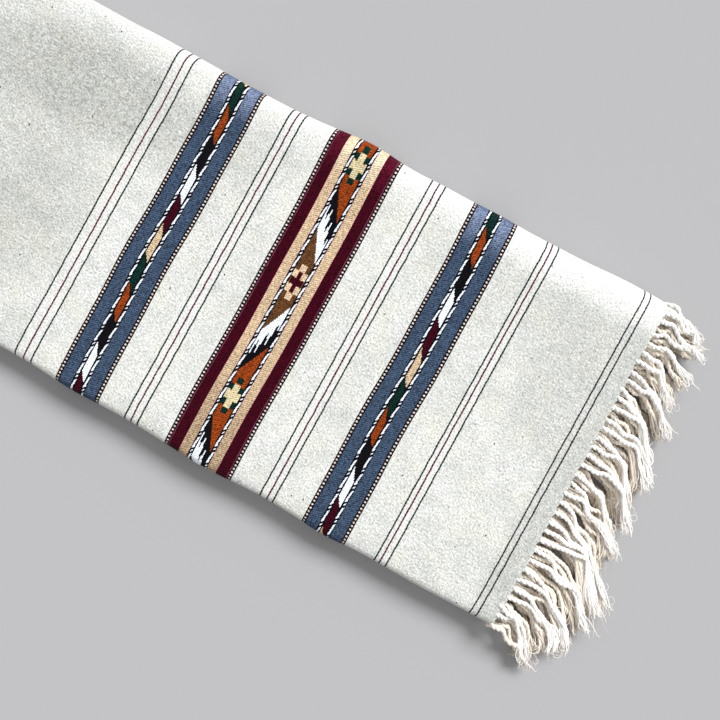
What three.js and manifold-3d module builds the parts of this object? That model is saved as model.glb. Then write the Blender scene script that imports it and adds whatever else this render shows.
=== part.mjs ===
// A fringed wool shawl, folded to a long strip and lying flat. Millimetres, +Z up.
// The cloth is folded once across, so that both fringed ends meet, and twice lengthwise: eight layers.
// X runs along the strip to the fringe, Y across it to the edge where the cloth wraps the whole stack.
// While it is built, x = 0 is the fold across; the finished group stands on its own bottom centre.
import * as THREE from "three";
import Module from "manifold-3d";
import { mergeVertices } from "three/addons/utils/BufferGeometryUtils.js";

const wasm = await Module();
wasm.setup();

// The cloth.
const CLOTH_WIDTH = 1016; // selvage to selvage
const CLOTH_LENGTH = 2032; // without the fringe
const WALL = 2; // one fulled layer
const STRIP_WIDTH = CLOTH_WIDTH / 4;
const STRIP_LENGTH = CLOTH_LENGTH / 2;

// The folded stack, across its width.
const STACK = 22; // height of the eight layers
const HALF_WIDTH = STRIP_WIDTH / 2;
const WRAP_RADIUS = STACK / 2; // the cloth goes round all the layers on the +Y side
const WRAP_Y = HALF_WIDTH - WRAP_RADIUS;
const FOLD_RADIUS = 6.25; // and round the upper four on the -Y side
const FOLD_Y = FOLD_RADIUS - HALF_WIDTH;
const FOLD_Z = STACK - FOLD_RADIUS;
const SPLIT_Z = STACK - 2 * FOLD_RADIUS; // underside of the upper four layers
const TUCK_LENGTH = 31; // of the cloth that runs back between the halves
const TUCK_Y = FOLD_Y + TUCK_LENGTH;
const SELVAGE_Y = 1 - HALF_WIDTH; // the lowest layer's free edge

// The fold across, at x = 0: each double layer turns back on itself.
const TURN_RADIUS = 2.4;
const TURN_DEPTH = 2 * TURN_RADIUS;
const RETURN_LENGTH = 30;

// Room between separate solids.
const SEAM = 0.3;
const EASE = 0.5; // between the outer cloth and the layers inside it

// The strip is a little wider at the fringe, and its long edges wander.
const FLARE = 0.05;
const FLARE_FROM = 560;
const SWAY = 0.8;
const SWAY_PITCH = 71;

// Swells and hollows of the upper layers: centre, reach each way and rise.
const SWELLS = [
  { x: 600, y: 84, reachX: 95, reachY: 24, rise: -1.7 },
  { x: 585, y: 112, reachX: 150, reachY: 22, rise: 1.3 },
  { x: 760, y: 110, reachX: 90, reachY: 22, rise: 0.8 },
  { x: 935, y: 100, reachX: 60, reachY: 24, rise: 1.2 },
  { x: 870, y: 78, reachX: 70, reachY: 30, rise: -0.9 },
  { x: 700, y: -108, reachX: 190, reachY: 24, rise: 0.9 },
  { x: 560, y: -70, reachX: 80, reachY: 36, rise: -1.2 },
  { x: 820, y: -40, reachX: 120, reachY: 46, rise: -0.8 },
  { x: 960, y: -90, reachX: 60, reachY: 40, rise: 0.7 },
  { x: 420, y: 40, reachX: 110, reachY: 60, rise: 1.0 },
  { x: 300, y: -60, reachX: 90, reachY: 50, rise: -1.4 },
  { x: 240, y: 95, reachX: 120, reachY: 26, rise: -1.2 },
  { x: 120, y: 0, reachX: 80, reachY: 70, rise: 1.3 },
  { x: 60, y: -95, reachX: 90, reachY: 28, rise: 0.9 },
];

// Fringe: twisted warp ends, one row for each one or two layer ends of the stack.
const STRANDS = 32; // in each row
const ROOT_STRIP_DEPTH = 5;
const ROOT_STRIP_HEIGHT = 2;
const ROOT_MARGIN = 3; // from the end of the strip to its first strand
const STRAND_SIDES = 3;
const STRAND_STEPS = 5;
const STRAND_RADIUS = 1.55;
const TIP_RADIUS = 0.9;
const SHORTEST = 42; // at the +Y end
const LONGER_ACROSS = 20; // towards the -Y end
const LENGTH_JITTER = 9;
const DRIFT = 11; // the strands lie over towards -Y
const DRIFT_MORE = 15;
const DRIFT_PEAK_Y = -52;
const DRIFT_REACH = 55;
const TUFT_PITCH = 41; // neighbours lean together into tufts
const TUFT_LEAN = 3.6;
const TUFT_LONGER = 4; // at the middle of a tuft
const DRIFT_CURVE = 1.5;
const WAVE = 1.1;
const WAVE_TURN = 7; // radians from root to tip
const WAVE_PITCH = 19; // millimetres of root for each radian
const FALL_LENGTH = 58; // in which a row sinks from its root's height to its tips'

// Rows from the floor up: height of the root and of the tip, ends of the root strip and tuft phase.
const FRINGE_ROWS = [
  { name: "fringe_bottom", root: 1.4, tip: 1.2, from: -122, to: 114, phase: 0.0 },
  { name: "fringe_lower", root: 5.8, tip: 3.6, from: -121, to: 118, phase: 2.1 },
  { name: "fringe_middle", root: 10.6, tip: 6.0, from: -88, to: 121, phase: 4.4 },
  { name: "fringe_upper", root: 15.7, tip: 8.4, from: -119, to: 118, phase: 1.2 },
  { name: "fringe_top", root: 21.0, tip: 10.8, from: -120, to: 114, phase: 3.3 },
];

// Layer ends inside the stack at the fringe: height and how far each stops short.
const LAYER_ENDS = [
  { z: 3.5, short: 0.2, from: -122 },
  { z: 5.8, short: 0.0, from: -124 },
  { z: 8.1, short: 0.4, from: -121 },
  { z: 10.6, short: 0.1, from: TUCK_Y + SEAM },
  { z: 14.0, short: 0.3, from: FOLD_Y },
  { z: 17.4, short: 0.0, from: FOLD_Y },
];
const LAYER_END_DEPTH = 6;

// Free edges of the three layers above the lowest, from the floor up, and the groove over each.
const INNER_SELVAGES = [
  { edge: -122, groove: -119 },
  { edge: -125, groove: -118 },
  { edge: -123, groove: -123 },
];
const LIP = 0.15; // half the mouth of a groove

// Stations shared by every surface, so that neighbouring surfaces bend alike.
const LENGTH_STEPS = 20;
const TOP_STEPS = 12;
const WRAP_STEPS = 8;
const FOLD_STEPS = 6;
const TURN_STEPS = 4;
const LOBE_STEPS = 10;
const CAP_SAG = 0.5;

const material = (name, color, roughness) =>
  new THREE.MeshStandardMaterial({ name, color, roughness, metalness: 0 });
const offWhiteWool = material("off_white_wool", 0xe4e4da, 0.9);
const innerWool = material("inner_wool", 0xcfc8b8, 0.95);
const yarn = material("fringe_yarn", 0xeeeae0, 0.9);

function spread(from, to, steps) {
  return Array.from({ length: steps + 1 }, (_, i) => from + ((to - from) * i) / steps);
}

const smooth = (t) => {
  const u = Math.min(1, Math.max(0, t));
  return u * u * (3 - 2 * u);
};

// A repeatable number from 0 to 1 for each whole number.
const scatter = (n) => {
  const s = Math.sin(n * 12.9898 + 4.1414) * 43758.5453;
  return s - Math.floor(s);
};

function swell(x, y) {
  return SWELLS.reduce((sum, s) => {
    const u = (x - s.x) / s.reachX;
    const v = (y - s.y) / s.reachY;
    return sum + s.rise * Math.exp(-u * u - v * v);
  }, 0);
}

// Takes a point of the straight stack to where the settled cloth lies. The underside stays flat.
function settle(x, y, z) {
  const flare = 1 + FLARE * (smooth((x - FLARE_FROM) / (STRIP_LENGTH - FLARE_FROM)) - 0.5);
  const share = Math.max(0, (z - SPLIT_Z) / (STACK - SPLIT_Z));
  const sway = SWAY * Math.sin(x / SWAY_PITCH);
  return new THREE.Vector3(x, y * flare + sway, z + share * swell(x, y));
}

// The triangles of a wall's end, whose outline runs out along one face and home along the other.
function wallCap(count) {
  const steps = Array.from({ length: count / 2 - 1 }, (_, i) => i);
  return steps.flatMap((i) => [
    [i, i + 1, count - 2 - i],
    [i, count - 2 - i, count - 1 - i],
  ]);
}

// The triangles of any other outline. A slight sag keeps each point of its straight top in use.
function outlineCap(outline) {
  const sagged = outline.map((p) => new THREE.Vector2(p.x, p.y + CAP_SAG * (p.x / HALF_WIDTH) ** 2));
  return THREE.ShapeUtils.triangulateShape(sagged, []);
}

// Joins rings of equal length into one closed geometry, with the same triangles at both ends.
function loft(rings, cap) {
  const count = rings[0].length;
  const positions = rings.flat().flatMap((p) => [p.x, p.y, p.z]);
  const index = [];
  for (let r = 0; r + 1 < rings.length; r++) {
    for (let i = 0; i < count; i++) {
      const a = r * count + i;
      const b = r * count + ((i + 1) % count);
      index.push(a, b, b + count, a, b + count, a + count);
    }
  }
  const last = (rings.length - 1) * count;
  for (const [a, b, c] of cap) index.push(c, b, a, last + a, last + b, last + c);
  const geometry = new THREE.BufferGeometry();
  geometry.setAttribute("position", new THREE.Float32BufferAttribute(positions, 3));
  geometry.setIndex(index);
  return geometry;
}

// A closed geometry as a solid, turned round if its faces point inwards.
function solid(geometry) {
  const bare = new THREE.BufferGeometry();
  bare.setAttribute("position", geometry.getAttribute("position"));
  bare.setIndex(geometry.getIndex());
  const merged = mergeVertices(bare, 1e-4);
  const triVerts = new Uint32Array(merged.index.array);
  const vertProperties = merged.attributes.position.array;
  const made = new wasm.Manifold(new wasm.Mesh({ numProp: 3, vertProperties, triVerts }));
  if (made.volume() > 0) return made;
  return new wasm.Manifold(new wasm.Mesh({ numProp: 3, vertProperties, triVerts: triVerts.reverse() }));
}

function meshOf(body, name, finish) {
  const made = body.getMesh();
  const geometry = new THREE.BufferGeometry();
  geometry.setAttribute("position", new THREE.Float32BufferAttribute(made.vertProperties, 3));
  geometry.setIndex(new THREE.BufferAttribute(made.triVerts, 1));
  geometry.computeVertexNormals();
  const mesh = new THREE.Mesh(geometry, finish);
  mesh.name = name;
  return mesh;
}

// Stations of a round edge about (y, z), from one angle to another, with normals that point to its centre.
function roundEdge(y, z, radius, from, to, steps) {
  return spread(from, to, steps).map((angle) => ({
    y: y + radius * Math.cos(angle),
    z: z + radius * Math.sin(angle),
    inY: -Math.cos(angle),
    inZ: -Math.sin(angle),
  }));
}

// The outer cloth's outside line: selvage, underside, wrap, top, fold and the end tucked in the middle.
function outerLine() {
  const flat = (from, to, steps, z, inZ) => spread(from, to, steps).map((y) => ({ y, z, inY: 0, inZ }));
  return [
    ...flat(SELVAGE_Y, WRAP_Y, 1, 0, 1).slice(0, -1),
    ...roundEdge(WRAP_Y, WRAP_RADIUS, WRAP_RADIUS, -Math.PI / 2, Math.PI / 2, WRAP_STEPS),
    ...flat(WRAP_Y, FOLD_Y, TOP_STEPS, STACK, -1).slice(1, -1),
    ...roundEdge(FOLD_Y, FOLD_Z, FOLD_RADIUS, Math.PI / 2, (3 * Math.PI) / 2, FOLD_STEPS),
    ...flat(FOLD_Y, TUCK_Y, 1, SPLIT_Z, 1).slice(1),
  ];
}

// The outer cloth cut along its length: along the outside, round the fold across, back, and home inside.
function lengthProfile() {
  const along = spread(TURN_RADIUS, STRIP_LENGTH, LENGTH_STEPS);
  const turn = (radius) =>
    spread(0, Math.PI, TURN_STEPS).map(
      (a) => new THREE.Vector2(TURN_RADIUS - radius * Math.sin(a), TURN_RADIUS - radius * Math.cos(a)),
    );
  const legEnd = TURN_RADIUS + RETURN_LENGTH;
  return [
    ...along.slice(1).reverse().map((x) => new THREE.Vector2(x, 0)),
    ...turn(TURN_RADIUS),
    new THREE.Vector2(legEnd, TURN_DEPTH),
    new THREE.Vector2(legEnd, TURN_DEPTH - WALL),
    ...turn(TURN_RADIUS - WALL).reverse(),
    ...along.slice(1).map((x) => new THREE.Vector2(x, WALL)),
  ];
}

function outerCloth() {
  const profile = lengthProfile();
  const rings = outerLine().map(({ y, z, inY, inZ }) =>
    profile.map(({ x, y: depth }) => settle(x, y + inY * depth, z + inZ * depth)),
  );
  return meshOf(solid(loft(rings, wallCap(profile.length))), "outer_cloth", offWhiteWool);
}

// Section of the layers inside, as far below the outer cloth's outside as depth says.
function innerSection(depth) {
  const low = depth;
  const high = SPLIT_Z - SEAM;
  const layer = (high - low) / INNER_SELVAGES.length;
  const selvages = INNER_SELVAGES.flatMap(({ edge, groove }, k) => [
    [edge, low + k * layer + LIP],
    [edge, low + (k + 1) * layer - LIP],
    [groove, low + (k + 1) * layer],
  ]);
  return [
    ...selvages.slice(0, -1).reverse(),
    ...roundEdge(WRAP_Y, WRAP_RADIUS, WRAP_RADIUS - depth, -Math.PI / 2, Math.PI / 2, WRAP_STEPS).map(
      ({ y, z }) => [y, z],
    ),
    ...spread(WRAP_Y, FOLD_Y, TOP_STEPS).slice(1, -1).map((y) => [y, STACK - depth]),
    ...roundEdge(FOLD_Y, FOLD_Z, FOLD_RADIUS - depth, Math.PI / 2, (3 * Math.PI) / 2, FOLD_STEPS).map(
      ({ y, z }) => [y, z],
    ),
    [TUCK_Y + SEAM, SPLIT_Z + depth],
    [TUCK_Y + SEAM, high],
  ].map(([y, z]) => new THREE.Vector2(y, z));
}

function innerLayers() {
  const besideReturn = TURN_DEPTH + SEAM;
  const besideCloth = WALL + EASE;
  const bodyFrom = 2 * TURN_RADIUS;
  const stepAt = TURN_RADIUS + RETURN_LENGTH + SEAM;
  const bodyTo = STRIP_LENGTH - LAYER_END_DEPTH;
  const along = spread(TURN_RADIUS, STRIP_LENGTH, LENGTH_STEPS).slice(1, -1);
  const stations = [
    { x: bodyFrom, depth: besideReturn },
    { x: stepAt, depth: besideReturn },
    { x: stepAt + SEAM, depth: besideCloth },
    ...along.map((x) => ({ x, depth: besideCloth })),
    { x: bodyTo, depth: besideCloth },
  ];
  const rings = stations.map(({ x, depth }) => innerSection(depth).map((p) => settle(x, p.x, p.y)));
  let body = solid(loft(rings, outlineCap(innerSection(besideCloth))));

  // The two double layers in the middle turn back at the fold across.
  const lobe = (STACK - 2 * besideReturn) / 4;
  for (const z of [besideReturn + lobe, STACK - besideReturn - lobe]) {
    const profile = spread(0, 2 * Math.PI, LOBE_STEPS)
      .slice(1)
      .map((a) => new THREE.Vector2(bodyFrom + lobe * Math.cos(a), z + lobe * Math.sin(a)));
    const ringsAcross = spread(TUCK_Y + WALL, WRAP_Y, TOP_STEPS).map((y) =>
      profile.map((p) => settle(p.x, y, p.y)),
    );
    body = body.add(solid(loft(ringsAcross, outlineCap(profile))));
  }

  // Layer ends at the fringe.
  for (const { z, short, from } of LAYER_ENDS) {
    const end = STRIP_LENGTH - short;
    const start = bodyTo - LAYER_END_DEPTH;
    const profile = [
      new THREE.Vector2(start, z - WALL / 2),
      new THREE.Vector2(end, z - WALL / 2),
      new THREE.Vector2(end, z + WALL / 2),
      new THREE.Vector2(start, z + WALL / 2),
    ];
    const ringsAcross = spread(from, WRAP_Y, TOP_STEPS).map((y) => profile.map((p) => settle(p.x, y, p.y)));
    body = body.add(solid(loft(ringsAcross, outlineCap(profile))));
  }
  return meshOf(body, "inner_layers", innerWool);
}

// One strand of a row: roots in the strip, lies over towards -Y and sinks to the row's tip height.
function strand(row, rowNumber, n, rootX, y) {
  const across = 0.5 - y / STRIP_WIDTH;
  const jitter = scatter(rowNumber * STRANDS + n) - 0.5;
  const tuft = (2 * Math.PI * y) / TUFT_PITCH + row.phase;
  const evenLength = SHORTEST + LONGER_ACROSS * smooth(across);
  const length = evenLength + LENGTH_JITTER * jitter - TUFT_LONGER * Math.cos(tuft);
  const reach = (y - DRIFT_PEAK_Y) / DRIFT_REACH;
  const drift = DRIFT + DRIFT_MORE * Math.exp(-reach * reach);
  const lean = TUFT_LEAN * Math.sin(tuft);
  const rings = spread(0, 1, STRAND_STEPS).map((s) => {
    const wave = WAVE * Math.sin(WAVE_TURN * s + y / WAVE_PITCH + row.phase);
    const side = y - drift * s ** DRIFT_CURVE + lean * s + wave * s;
    const height = row.root + (row.tip - row.root) * smooth((length * s) / FALL_LENGTH);
    const radius = STRAND_RADIUS + (TIP_RADIUS - STRAND_RADIUS) * s;
    return Array.from({ length: STRAND_SIDES }, (_, i) => {
      const angle = (2 * Math.PI * i) / STRAND_SIDES + Math.PI / 2;
      const z = height + radius * Math.sin(angle);
      return settle(rootX + length * s, side + radius * Math.cos(angle), z);
    });
  });
  const cap = Array.from({ length: STRAND_SIDES }, (_, i) => {
    const angle = (2 * Math.PI * i) / STRAND_SIDES;
    return new THREE.Vector2(Math.cos(angle), Math.sin(angle));
  });
  return solid(loft(rings, outlineCap(cap)));
}

function fringeRow(row, rowNumber) {
  const near = STRIP_LENGTH + SEAM;
  const far = near + ROOT_STRIP_DEPTH;
  const rim = [
    new THREE.Vector2(near, row.root - ROOT_STRIP_HEIGHT / 2),
    new THREE.Vector2(far, row.root - ROOT_STRIP_HEIGHT / 2),
    new THREE.Vector2(far, row.root + ROOT_STRIP_HEIGHT / 2),
    new THREE.Vector2(near, row.root + ROOT_STRIP_HEIGHT / 2),
  ];
  const ringsAcross = spread(row.from, row.to, TOP_STEPS).map((y) => rim.map((p) => settle(p.x, y, p.y)));
  let body = solid(loft(ringsAcross, outlineCap(rim)));
  spread(row.from + ROOT_MARGIN, row.to - ROOT_MARGIN, STRANDS - 1).forEach((y, n) => {
    body = body.add(strand(row, rowNumber, n, near + ROOT_STRIP_DEPTH / 2, y));
  });
  return meshOf(body, row.name, yarn);
}

const shawl = new THREE.Group();
shawl.add(outerCloth(), innerLayers(), ...FRINGE_ROWS.map(fringeRow));

// The origin is the middle of the part's box, on the surface that it lies on.
const reach = new THREE.Box3().setFromObject(shawl, true);
const middle = reach.getCenter(new THREE.Vector3());
shawl.position.set(-middle.x, -middle.y, -reach.min.z);

export default shawl;
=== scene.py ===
"""Looks of the folded wool shawl: its cloth, its woven bands and its twisted fringe.

Lengths are millimetres in the straight strip's own space, as in part.mjs: x = 0 is the fold
across, y runs across the strip, z = 0 is the surface that it lies on. place() takes points
from there to the frame, in metres.
"""
import math

import bpy
import numpy as np
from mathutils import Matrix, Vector


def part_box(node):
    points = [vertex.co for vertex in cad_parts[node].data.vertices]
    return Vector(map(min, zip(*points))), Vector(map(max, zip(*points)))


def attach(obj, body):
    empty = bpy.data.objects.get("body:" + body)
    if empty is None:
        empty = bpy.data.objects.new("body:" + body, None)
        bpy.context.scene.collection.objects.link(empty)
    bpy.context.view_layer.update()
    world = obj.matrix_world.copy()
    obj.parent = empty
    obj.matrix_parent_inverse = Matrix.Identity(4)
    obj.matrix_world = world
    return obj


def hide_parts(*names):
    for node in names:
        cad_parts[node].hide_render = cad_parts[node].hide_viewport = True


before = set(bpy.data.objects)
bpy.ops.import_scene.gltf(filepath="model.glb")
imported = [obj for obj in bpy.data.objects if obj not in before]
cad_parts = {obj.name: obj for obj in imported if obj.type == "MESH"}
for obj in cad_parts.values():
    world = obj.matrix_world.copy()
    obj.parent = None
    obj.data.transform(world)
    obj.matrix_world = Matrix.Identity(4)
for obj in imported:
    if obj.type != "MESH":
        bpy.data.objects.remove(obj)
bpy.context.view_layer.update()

MM = 0.001

# The folded stack, with the names and values of part.mjs.
STRIP_WIDTH = 254.0
STRIP_LENGTH = 1016.0
WALL = 2.0
STACK = 22.0
HALF_WIDTH = STRIP_WIDTH / 2
WRAP_RADIUS = STACK / 2
WRAP_Y = HALF_WIDTH - WRAP_RADIUS
FOLD_RADIUS = 6.25
FOLD_Y = FOLD_RADIUS - HALF_WIDTH
FOLD_Z = STACK - FOLD_RADIUS
SPLIT_Z = STACK - 2 * FOLD_RADIUS
TUCK_LENGTH = 31.0
SELVAGE_Y = 1 - HALF_WIDTH
TURN_RADIUS = 2.4
RETURN_LENGTH = 30.0
SEAM = 0.3
FLARE = 0.05
FLARE_FROM = 560.0
SWAY = 0.8
SWAY_PITCH = 71.0

# Swells and hollows of the upper layers: centre x and y, reach each way, and rise.
SWELLS = np.array([
    (600, 84, 95, 24, -1.7), (585, 112, 150, 22, 1.3), (760, 110, 90, 22, 0.8),
    (935, 100, 60, 24, 1.2), (870, 78, 70, 30, -0.9), (700, -108, 190, 24, 0.9),
    (560, -70, 80, 36, -1.2), (820, -40, 120, 46, -0.8), (960, -90, 60, 40, 0.7),
    (420, 40, 110, 60, 1.0), (300, -60, 90, 50, -1.4), (240, 95, 120, 26, -1.2),
    (120, 0, 80, 70, 1.3), (60, -95, 90, 28, 0.9),
])

# The fringe, with the names and values of part.mjs.
STRANDS = 32
ROOT_X = STRIP_LENGTH + SEAM
ROOT_MARGIN = 3.0
SHORTEST = 42.0
LONGER_ACROSS = 20.0
LENGTH_JITTER = 9.0
DRIFT = 11.0
DRIFT_MORE = 15.0
DRIFT_PEAK_Y = -52.0
DRIFT_REACH = 55.0
TUFT_PITCH = 41.0
TUFT_LEAN = 3.6
TUFT_LONGER = 4.0
FALL_LENGTH = 58.0


# ------ shape of the settled stack

def smooth(t):
    u = np.clip(t, 0, 1)
    return u * u * (3 - 2 * u)


def swell(x, y):
    total = 0
    for at_x, at_y, reach_x, reach_y, rise in SWELLS:
        total = total + rise * np.exp(-((x - at_x) / reach_x) ** 2 - ((y - at_y) / reach_y) ** 2)
    return total


def settle(x, y, z):
    """Takes points of the straight stack to where the settled cloth lies, as in part.mjs."""
    flare = 1 + FLARE * (smooth((x - FLARE_FROM) / (STRIP_LENGTH - FLARE_FROM)) - 0.5)
    share = np.maximum(0, (z - SPLIT_Z) / (STACK - SPLIT_Z))
    sway = SWAY * np.sin(x / SWAY_PITCH)
    return np.stack([x + 0 * y, y * flare + sway, z + share * swell(x, y)], axis=-1)


# The part stands on the middle of its box, so the frame is the strip's space, moved.
cloth_low, cloth_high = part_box("outer_cloth")
OFFSET = np.array([
    cloth_low[0],
    cloth_high[1] - settle(STRIP_LENGTH, HALF_WIDTH, WRAP_RADIUS)[1] * MM,
    0.0,
])


def place(points):
    return np.asarray(points) * MM + OFFSET


def spread(start, stop, step):
    """Even stations from start to stop, about step apart."""
    return np.linspace(start, stop, max(2, int(round(abs(stop - start) / step)) + 1))


# ------ meshes

def add_object(name, data):
    made = bpy.data.objects.new(name, data)
    bpy.context.collection.objects.link(made)
    return made


def new_object(name, points, faces, maps, material):
    """A smooth-shaded mesh object. maps gives each UV map's name and its corners' coordinates."""
    mesh = bpy.data.meshes.new(name)
    sizes = np.array([len(face) for face in faces])
    corners = np.concatenate(faces)
    starts = np.concatenate([[0], np.cumsum(sizes)[:-1]])
    mesh.vertices.add(len(points))
    mesh.vertices.foreach_set("co", place(points).astype(np.float32).reshape(-1))
    mesh.loops.add(len(corners))
    mesh.loops.foreach_set("vertex_index", corners.astype(np.int32))
    mesh.polygons.add(len(sizes))
    mesh.polygons.foreach_set("loop_start", starts.astype(np.int32))
    for map_name, values in maps.items():
        layer = mesh.uv_layers.new(name=map_name)
        layer.data.foreach_set("uv", values.astype(np.float32).reshape(-1))
    mesh.update(calc_edges=True)
    mesh.shade_smooth()
    mesh.validate()
    mesh.materials.append(material)
    return add_object(name, mesh)


# ------ cloth as a thin shell

EDGE_ROUND = 1.0  # within this of a free edge the cloth thins to a round lip
EDGE_HALF = 0.3
NEAR_EDGE = (0.0, 0.12, 0.45, 1.0)
TURN_STATIONS = 9
# The face is uneven from this height up, and past the turn at the fold across.
RIPPLE_FROM_Z = 1.2
RIPPLE_RISE = 5.0
RIPPLE_FROM_X = 3.0
# The woven edge is drawn out where each yarn of the fringe leaves it.
SCALLOP = 2.2
SCALLOP_REACH = 7.0
SCALLOP_PITCH = 7.35
SCALLOP_S = 281.56
RIM_BEYOND = 0.6  # how far outside its island's border a rim is laid, in the bake layout


def with_edges(values, start=True, stop=True):
    """Adds the stations that round a free edge at either end."""
    inner = list(values)
    way = 1 if inner[-1] > inner[0] else -1
    head = [inner[0] + way * e for e in NEAR_EDGE] if start else inner[:1]
    tail = [inner[-1] - way * e for e in reversed(NEAR_EDGE)] if stop else inner[-1:]
    return np.array(head + inner[1:-1] + tail)


def half_thickness(distance):
    """Half the cloth's thickness at a distance from its nearest free edge."""
    gap = 1 - np.clip(distance / EDGE_ROUND, 0, 1)
    return EDGE_HALF + (WALL / 2 - EDGE_HALF) * np.sqrt(np.maximum(0, 1 - gap * gap))


WRAP_S = 262  # along the wrapped edge
FOLD_S = 523  # along the folded edge
# Both are uneven, and the stiffer bands stand proud there: x, s, reach each way, and rise.
RIDGES = (
    (779, WRAP_S, 26, 20, 3.8),
    (745, WRAP_S, 40, 16, 1.0),
    (879, WRAP_S, 22, 16, 0.7),
    (838, WRAP_S, 34, 16, 1.5),
    (992, WRAP_S, 30, 16, 1.8),
    (779, FOLD_S, 28, 14, 2.2),
    (679, FOLD_S, 22, 12, 1.8),
    (879, FOLD_S, 20, 12, 1.8),
    (820, FOLD_S, 420, 15, -1.8),
    (640, WRAP_S, 30, 14, 0.7),
    (560, FOLD_S, 26, 12, 1.2),
    (960, FOLD_S, 24, 12, 0.9),
)


def ripple(x, s):
    """Small unevenness of handwoven cloth, across its face."""
    ridges = sum(
        rise * np.exp(-((x - at_x) / reach_x) ** 2 - ((s - at_s) / reach_s) ** 2)
        for at_x, at_s, reach_x, reach_s, rise in RIDGES
    )
    return ridges + (
        0.16 * np.sin(x / 23 + 1.3 * np.sin(s / 41))
        + 0.13 * np.sin(s / 17 + 1.1 * np.sin(x / 37 + 2))
        + 0.10 * np.sin((x + 0.6 * s) / 11 + 0.8)
        + 0.08 * np.sin((x - 0.9 * s) / 7.3 + np.sin(s / 13))
    )


def arc(centre_y, centre_z, radius, start, stop, step):
    """A turn of a section line, as rows of y, z and the inward normal."""
    angles = spread(start, stop, step / max(radius, 2.0))
    cos, sin = np.cos(angles), np.sin(angles)
    return np.stack([centre_y + radius * cos, centre_z + radius * sin, -cos, -sin], axis=-1)


def flat(start, stop, z, inward, step):
    """A level stretch of a section line, from start to stop in y."""
    ys = spread(start, stop, step)
    return np.stack([ys, 0 * ys + z, 0 * ys, 0 * ys + inward], axis=-1)


def join_lines(*parts):
    """Joins stretches of a section line, where one starts at the end of another."""
    return np.concatenate([parts[0]] + [p[1:] for p in parts[1:]])


def distances(line):
    steps = np.hypot(*np.diff(line[:, :2], axis=0).T)
    return np.concatenate([[0], np.cumsum(steps)])


def rounded(line):
    """Adds to a section the stations that round its two selvages."""
    s = distances(line)
    fine = with_edges(s)
    return np.stack([np.interp(fine, s, line[:, k]) for k in range(line.shape[1])], axis=-1)


def length_profile(start, stop, step, turn=0.0, back=0.0):
    """Rows of x, depth, normal along x, normal along depth and distance, from the fringe end."""
    along = with_edges(spread(stop, start, step), stop=turn == 0)
    rows = [(x, 0, 0, -1, x) for x in along]
    if turn:
        for angle in np.linspace(0, math.pi, TURN_STATIONS)[1:]:
            sin, cos = math.sin(angle), math.cos(angle)
            rows.append((start - turn * sin, turn * (1 - cos), -sin, -cos, start - turn * angle))
        home = start - turn * math.pi
        leg = with_edges(spread(0, back, step), start=False)[1:]
        rows += [(start + d, 2 * turn, 0, 1, home - d) for d in leg]
    return np.array(rows)


def grid_quads(index):
    """Faces between the rows and columns of a grid of vertex numbers."""
    corners = (index[:-1, :-1], index[:-1, 1:], index[1:, 1:], index[1:, :-1])
    return np.stack(corners, axis=-1).reshape(-1, 4)


def rim_quads(index, beyond):
    """Faces round a grid's border, to the vertices whose numbers are higher by beyond."""
    rims = []
    for border in (index[0], index[:, -1], index[-1][::-1], index[:, 0][::-1]):
        a, b = border[:-1], border[1:]
        rims.append(np.stack([a, a + beyond, b + beyond, b], axis=-1))
    return rims


def scallop(t, s):
    """How far the woven edge at the fringe draws back between two yarns, at distances t and s."""
    near_end = smooth((t - (STRIP_LENGTH - SCALLOP_REACH)) / SCALLOP_REACH)
    uneven = 0.75 + 0.35 * np.sin(s / 9.7) * np.sin(s / 23.1 + 1)
    notch = 0.5 - 0.5 * np.cos(2 * math.pi * (s - SCALLOP_S) / SCALLOP_PITCH)
    return SCALLOP * near_end * uneven * notch


def bake_layout(faces, flat_points, t, s, islands):
    """Place of each face's corners in the bake layout, from its place in the cloth when flat."""
    corner = flat_points[faces]
    middle = corner.mean(axis=1)
    number = np.arange(len(faces))
    face_count = (len(t) - 1) * (len(s) - 1)
    on_back = (number >= face_count) & (number < 2 * face_count)
    on_rim = (faces >= len(t) * len(s)) & (number >= 2 * face_count)[:, None]
    out_x = 1.0 * np.isclose(corner[..., 0], t[0]) - np.isclose(corner[..., 0], t[-1])
    out_s = 1.0 * np.isclose(corner[..., 1], s[-1]) - np.isclose(corner[..., 1], s[0])
    beyond = np.where(on_rim, RIM_BEYOND, 0.0)[..., None]
    corner = corner + np.stack([out_x, out_s], axis=-1) * beyond
    laid = np.zeros_like(corner)
    for piece in islands:
        low, high = np.array(piece["low"]), np.array(piece["high"])
        inside = (on_back == piece["back"]) & np.all((middle >= low) & (middle <= high), axis=1)
        local = (corner[inside] - low) * piece["scale"]
        if piece["turned"]:
            local = local[..., ::-1]
        laid[inside] = local + np.array(piece["at"])
    return laid / BAKE_SIZE


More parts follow.
